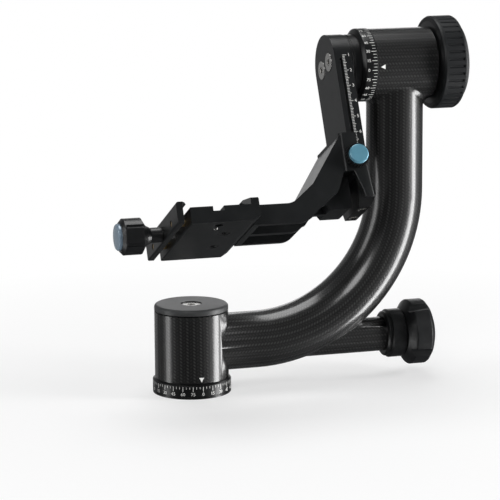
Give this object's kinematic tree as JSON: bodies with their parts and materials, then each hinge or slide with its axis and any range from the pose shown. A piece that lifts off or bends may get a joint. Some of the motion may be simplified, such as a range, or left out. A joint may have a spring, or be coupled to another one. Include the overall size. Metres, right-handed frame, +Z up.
{
  "type": "gimbal tripod head",
  "caption": "Gimbal head with a round pan base, curved carbon arm, tilting swing bar and a sliding L-bracket that ends in a screw-driven dovetail clamp.",
  "frame": {"origin": "pan axis at the underside of the base ring", "axes": "+Z up along the pan axis, +X from the base towards the curved arm and along the tilt axis, -Y towards the side with the height lock knob"},
  "size_m": [0.2364, 0.1134, 0.2306],
  "materials": {
    "carbon": "woven carbon fibre under clear gloss lacquer",
    "anodised": "satin black anodised aluminium",
    "anodised_grey": "satin dark grey anodised aluminium",
    "satin_cap": "satin black lid",
    "stainless": "turned stainless steel",
    "bearing_steel": "ground bearing steel",
    "brass": "turned brass",
    "aluminium_core": "plain machined aluminium",
    "knob_plastic": "moulded black plastic",
    "knob_rubber": "moulded dark grey rubber",
    "blue_cap": "light blue plastic cap",
    "grey_blue_cap": "grey blue plastic disc",
    "friction": "friction lining"
  },
  "bodies": {
    "base": {"base_scale_ring": "anodised", "base_screws": "stainless", "pan_spindle": "stainless", "base_thread_insert": "stainless", "spindle_retainer": "stainless"},
    "arm": {"carbon_arm": "carbon", "base_liner": "aluminium_core", "pan_bearings": "bearing_steel", "base_cap": "satin_cap", "base_cap_screw": "stainless", "pan_lock_collar": "anodised", "housing_liner": "aluminium_core", "tilt_bearings": "bearing_steel", "tilt_brake_disc": "friction", "pan_brake_shoe": "brass"},
    "pan_knob": {"pan_lock_rod": "stainless", "pan_lock_knob": "knob_plastic"},
    "swing": {"tilt_axle": "anodised", "tilt_scale_ring": "anodised", "swing_bar": "anodised_grey", "swing_bar_screws": "stainless", "bar_end_stop": "anodised_grey", "end_stop_screws": "stainless"},
    "tilt_knob": {"tilt_knob_core": "aluminium_core", "tilt_knob_tyre": "knob_rubber", "tilt_knob_cap": "satin_cap"},
    "cradle": {"height_bracket": "anodised_grey", "clamp_body": "anodised_grey", "clamp_bolts": "stainless", "clamp_stop_pin": "stainless", "height_gib": "brass"},
    "height_knob": {"height_lock_knob": "anodised", "height_lock_cap": "blue_cap"},
    "jaw": {"moving_jaw": "anodised_grey", "jaw_guide_pins": "brass"},
    "clamp_knob": {"clamp_screw": "stainless", "clamp_knob": "knob_plastic", "clamp_knob_cap": "grey_blue_cap"}
  },
  "joints": [
    {"name": "pan", "type": "hinge", "parent": "base", "child": "arm", "pos_m": [0, 0, 0], "axis": [0, 0, 1], "continuous": true},
    {"name": "pan_lock", "type": "hinge", "parent": "arm", "child": "pan_knob", "pos_m": [0.15, 0, 0.0274], "axis": [-1, 0, 0], "range_deg": [0, 90]},
    {"name": "tilt", "type": "hinge", "parent": "arm", "child": "swing", "pos_m": [0, 0, 0.2013], "axis": [1, 0, 0], "continuous": true},
    {"name": "tilt_lock", "type": "hinge", "parent": "swing", "child": "tilt_knob", "pos_m": [0.165, 0, 0.2013], "axis": [-1, 0, 0], "range_deg": [0, 90]},
    {"name": "height_slide", "type": "slide", "parent": "swing", "child": "cradle", "axis": [0, 0.4446, 0.8957], "range_m": [0, 0.04]},
    {"name": "height_lock", "type": "hinge", "parent": "cradle", "child": "height_knob", "pos_m": [0.091, -0.05236, 0.15205], "axis": [0, 0.8957, -0.4446], "range_deg": [0, 90]},
    {"name": "jaw_slide", "type": "slide", "parent": "cradle", "child": "jaw", "axis": [1, 0, 0], "range_m": [-0.003, 0.0038]},
    {"name": "clamp_turn", "type": "hinge", "parent": "jaw", "child": "clamp_knob", "pos_m": [-0.05, -0.04562, 0.1094], "axis": [1, 0, 0], "range_deg": [-540, 684]}
  ],
  "couplings": [
    {"joint": "clamp_turn", "follows": "jaw_slide", "rad_per_m": 3141.6}
  ]
}
